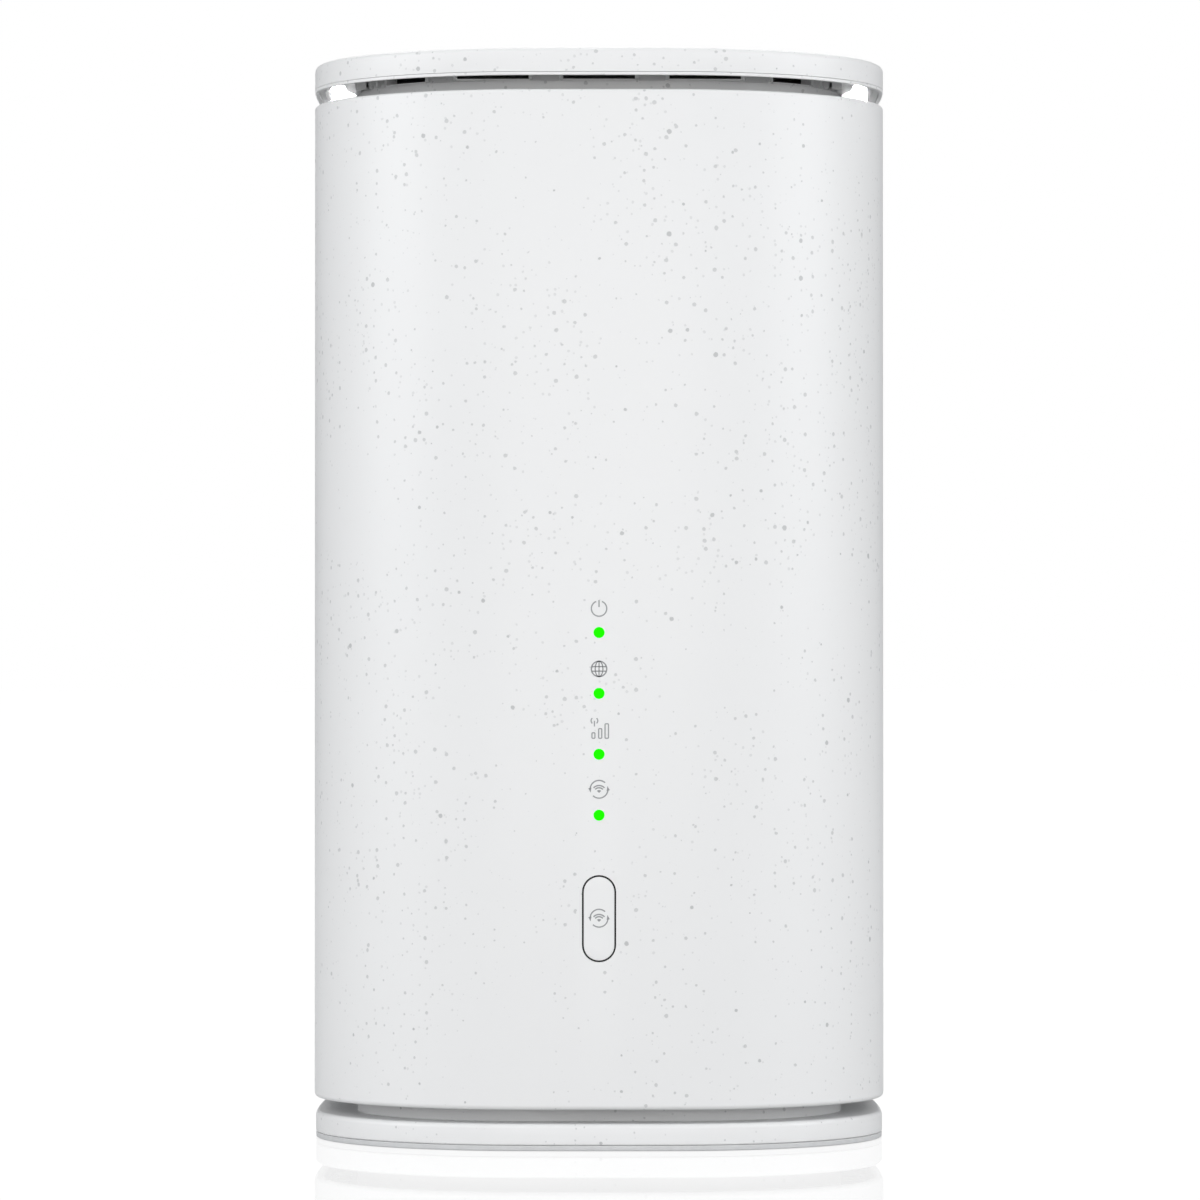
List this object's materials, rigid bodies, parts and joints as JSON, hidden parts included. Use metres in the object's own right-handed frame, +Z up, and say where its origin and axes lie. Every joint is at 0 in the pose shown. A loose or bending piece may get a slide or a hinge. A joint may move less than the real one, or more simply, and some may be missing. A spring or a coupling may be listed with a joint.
{
  "type": "mesh wifi node",
  "caption": "Upright rounded-square wireless node with a vented lid on a recessed neck, front status lights and a pill-shaped button, and a port bay and hinged antenna flap at the back.",
  "frame": {"origin": "centre of the footprint, on the surface the node stands on", "axes": "+Z up, -Y towards the front with the lights and the button, +X to the right as seen from the front"},
  "size_m": [0.109, 0.109, 0.204],
  "materials": {
    "white_plastic": "fine matt, recycled plastic with small grey flecks",
    "grey_plastic": "matt",
    "dark_plastic": "satin",
    "rubber_pad": "matt, soft",
    "circuit_board": "satin solder mask",
    "steel": "brushed",
    "heat_sink_metal": "extruded, bead blasted",
    "gold_contact": "plated",
    "thermal_pad": "matt, soft",
    "green_light": "clear, lit"
  },
  "bodies": {
    "tower": {"foot_pad": "rubber_pad", "base_plate": "white_plastic", "base_neck": "white_plastic", "bottom_deck": "grey_plastic", "base_screw_1": "steel", "base_screw_2": "steel", "base_screw_3": "steel", "base_screw_4": "steel", "housing_shell": "white_plastic", "top_deck": "grey_plastic", "lid_liner": "dark_plastic", "vent_ring": "white_plastic", "lid_lip": "white_plastic", "lid_cover": "white_plastic", "pairing_switch": "dark_plastic", "light_board": "circuit_board", "front_carrier": "grey_plastic", "ribbon_cable": "grey_plastic", "light_pipe_wifi": "green_light", "light_pipe_signal": "green_light", "light_pipe_internet": "green_light", "light_pipe_power": "green_light", "main_board": "circuit_board", "board_rail_left": "grey_plastic", "board_rail_right": "grey_plastic", "heat_sink": "heat_sink_metal", "sink_screw_1": "steel", "sink_screw_2": "steel", "sink_screw_3": "steel", "sink_screw_4": "steel", "processor_shield": "steel", "modem_module": "steel", "wifi_shield": "steel", "processor_pad": "thermal_pad", "modem_pad": "thermal_pad", "coax_left": "dark_plastic", "coax_right": "dark_plastic", "antenna_left": "circuit_board", "antenna_right": "circuit_board", "antenna_front": "circuit_board", "antenna_back": "circuit_board", "port_panel": "white_plastic", "port_bezel": "white_plastic", "network_jack_1": "dark_plastic", "network_jack_2": "dark_plastic", "dc_jack": "dark_plastic", "power_switch": "dark_plastic", "reset_switch": "dark_plastic", "sim_reader": "steel", "antenna_well": "grey_plastic", "antenna_socket_left": "gold_contact", "antenna_socket_right": "gold_contact", "flap_pin": "steel"},
    "pairing_button": {"pairing_button": "white_plastic"},
    "power_button": {"power_button": "grey_plastic"},
    "reset_plunger": {"reset_plunger": "dark_plastic"},
    "sim_tray": {"sim_tray": "grey_plastic"},
    "antenna_flap": {"antenna_flap": "white_plastic"}
  },
  "joints": [
    {"name": "pairing_button_press", "type": "slide", "parent": "tower", "child": "pairing_button", "axis": [0, 1, 0], "range_m": [0, 0.0005], "stiffness_N_per_m": 1200},
    {"name": "power_button_press", "type": "slide", "parent": "tower", "child": "power_button", "axis": [0, -1, 0], "range_m": [0, 0.002], "stiffness_N_per_m": 700},
    {"name": "reset_press", "type": "slide", "parent": "tower", "child": "reset_plunger", "axis": [0, -1, 0], "range_m": [0, 0.0005], "stiffness_N_per_m": 700},
    {"name": "sim_tray_slide", "type": "slide", "parent": "tower", "child": "sim_tray", "axis": [0, 1, 0], "range_m": [0, 0.012]},
    {"name": "antenna_flap_hinge", "type": "hinge", "parent": "tower", "child": "antenna_flap", "pos_m": [0, 0.0534, 0.1292], "axis": [-1, 0, 0], "range_deg": [0, 95]}
  ]
}
